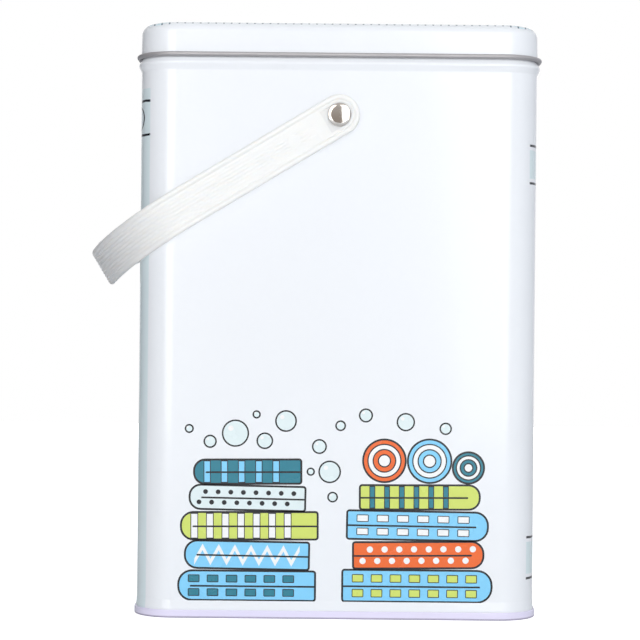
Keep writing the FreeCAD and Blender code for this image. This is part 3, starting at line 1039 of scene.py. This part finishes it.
def studio_world(studio):
    """White room to the camera and to gloss, with dark sides and a dull gap in front."""
    white, dark_side, pale_side = (1, 1, 1, 1), (0.11, 0.115, 0.14, 1), (0.64, 0.66, 0.72, 1)
    dull_gap, skylight = (0.40, 0.355, 0.32, 1), (0.89, 0.94, 1.0, 1)
    world = bpy.data.worlds.new("studio")
    world.use_nodes = True
    bpy.context.scene.world = world
    tree = world.node_tree
    tree.nodes.clear()

    def light(colour, strength=1.0):
        return put(tree, "ShaderNodeBackground", {"Color": colour, "Strength": strength}).outputs[0]

    def choice(ray, otherwise, then):
        return put(tree, "ShaderNodeMixShader", {0: light_path(tree, ray), 1: otherwise, 2: then}).outputs[0]

    x, y, z = split(coordinates(tree, "Generated"))
    away = y / maths("MAXIMUM", maths("SQRT", x * x + y * y), 0.001)
    behind = ramp(away, 0.80, 0.93)
    under, over = ramp(z, -0.04, -0.30, 0.0, 0.85), ramp(z, 0.04, 0.40, 0.0, 0.45)
    sides = blend_of(ramp(x, -0.1, 0.5), dark_side, pale_side)
    front = blend_of(ramp(away, -0.70, -0.90), sides, dull_gap)
    room = blend_of(maths("MAXIMUM", behind, maths("MAXIMUM", under, over)), front, white)
    lit = choice("Is Glossy Ray", light(skylight, studio.fill * (x * 0.45 + 1.0)), light(room))
    put(tree, "ShaderNodeOutputWorld", {0: choice("Is Camera Ray", lit, light(white))})


def lamp(name, azimuth, height, distance, width, tall, strength, colour):
    """A soft box aimed at the tin, at an azimuth from the camera's side (left is negative)."""
    data = bpy.data.lights.new(name, "AREA")
    data.shape, data.size, data.size_y = "RECTANGLE", width, tall
    data.energy = strength * math.pi * width * tall
    data.color = colour
    made = bpy.data.objects.new(name, data)
    turn = math.radians(azimuth)
    made.location = (math.sin(turn) * distance, -math.cos(turn) * distance, height)
    made.visible_glossy = abs(azimuth) < 90
    made.rotation_mode = "QUATERNION"
    made.rotation_quaternion = (Vector((0, 0, LID_HIGH.z / 2)) - made.location).to_track_quat("-Z", "Y")
    bpy.context.collection.objects.link(made)


def floor_material():
    """Pale floor that stays white to the camera where it is lit, and keeps the tin's shadow."""
    material, shader = new_material("studio_floor")
    pale = (0.86, 0.86, 0.87, 1)
    dress(shader, skin_group(), 0.05, 0.01 * MM, Colour=pale, Clouding=0.02, Grain=60.0, Roughness=0.6)
    seen = light_path(shader.id_data, "Is Camera Ray") * 0.75
    feed(shader, {"Emission Color": grey(seen), "Emission Strength": 1.0})
    return material


class TIN_OT_stage(bpy.types.Operator):
    """Sets the pale floor, the white room, the soft boxes and the camera"""

    bl_idname = "tin.stage"
    bl_label = "Stage"

    def execute(self, context):
        studio = context.scene.tin_studio
        bm = bmesh.new()
        bmesh.ops.create_grid(bm, x_segments=1, y_segments=1, size=1.6)
        floor = new_object("floor", bm)
        floor.data.materials.append(floor_material())
        studio_world(studio)
        lamp("left_softbox", -21, 0.52, 1.5, 0.66, 1.25, studio.lamps, (1, 0.99, 0.97))
        lamp("right_softbox", 18.5, 0.52, 1.5, 0.72, 1.25, studio.lamps, (0.97, 0.99, 1))
        lamp("back_softbox", 170, 0.60, 1.5, 1.2, 1.25, studio.back, (1, 1, 1))
        lamp("overhead", 0, 1.45, 0.35, 1.1, 0.9, studio.overhead, (1, 1, 1))
        lens = bpy.data.cameras.new("camera")
        lens.sensor_width, lens.lens, lens.clip_start = 36, studio.lens, 0.01
        camera = bpy.data.objects.new("camera", lens)
        camera.location = (-studio.aside, -studio.distance, studio.height)
        level = Matrix.Rotation(math.pi / 2, 4, "X")
        camera.rotation_euler = (level @ Matrix.Rotation(studio.roll, 4, "Z")).to_euler()
        context.collection.objects.link(camera)
        context.scene.camera = camera
        context.scene.view_settings.view_transform = "Standard"
        return {"FINISHED"}


class TIN_PT_sidebar(bpy.types.Panel):
    """Lists the tin's pieces and sizes"""

    bl_idname = "TIN_PT_sidebar"
    bl_label = "Laundry powder tin"
    bl_space_type = "VIEW_3D"
    bl_region_type = "UI"
    bl_category = "Tin"

    def draw(self, context):
        layout = self.layout
        for step in STEPS:
            layout.operator(step.bl_idname)
        for group in GROUPS:
            settings = getattr(context.scene, group)
            box = layout.box()
            for name in settings.bl_rna.properties.keys():
                if name not in ("rna_type", "name"):
                    box.prop(settings, name)


GROUPS = {
    "tin_sizes": TinSizes, "bail_sizes": BailSizes, "tin_colours": TinColours, "tin_studio": StudioSizes,
}
STEPS = (
    TIN_OT_stage, TIN_OT_wall, TIN_OT_side_seam, TIN_OT_seam, TIN_OT_lid,
    TIN_OT_bail, TIN_OT_rivets, TIN_OT_spacers, TIN_OT_front_print,
)


def register():
    """Registers the groups, operators and panel."""
    for group, kind in GROUPS.items():
        bpy.utils.register_class(kind)
        setattr(bpy.types.Scene, group, PointerProperty(type=kind))
    for kind in STEPS + (TIN_PT_sidebar,):
        bpy.utils.register_class(kind)


def unregister():
    """Takes out what register put in."""
    for kind in (TIN_PT_sidebar,) + STEPS[::-1]:
        bpy.utils.unregister_class(kind)
    for group, kind in GROUPS.items():
        delattr(bpy.types.Scene, group)
        bpy.utils.unregister_class(kind)


def main():
    """Makes every piece in turn."""
    register()
    for step in STEPS:
        family, name = step.bl_idname.split(".")
        getattr(getattr(bpy.ops, family), name)()


if __name__ == "__main__":
    main()
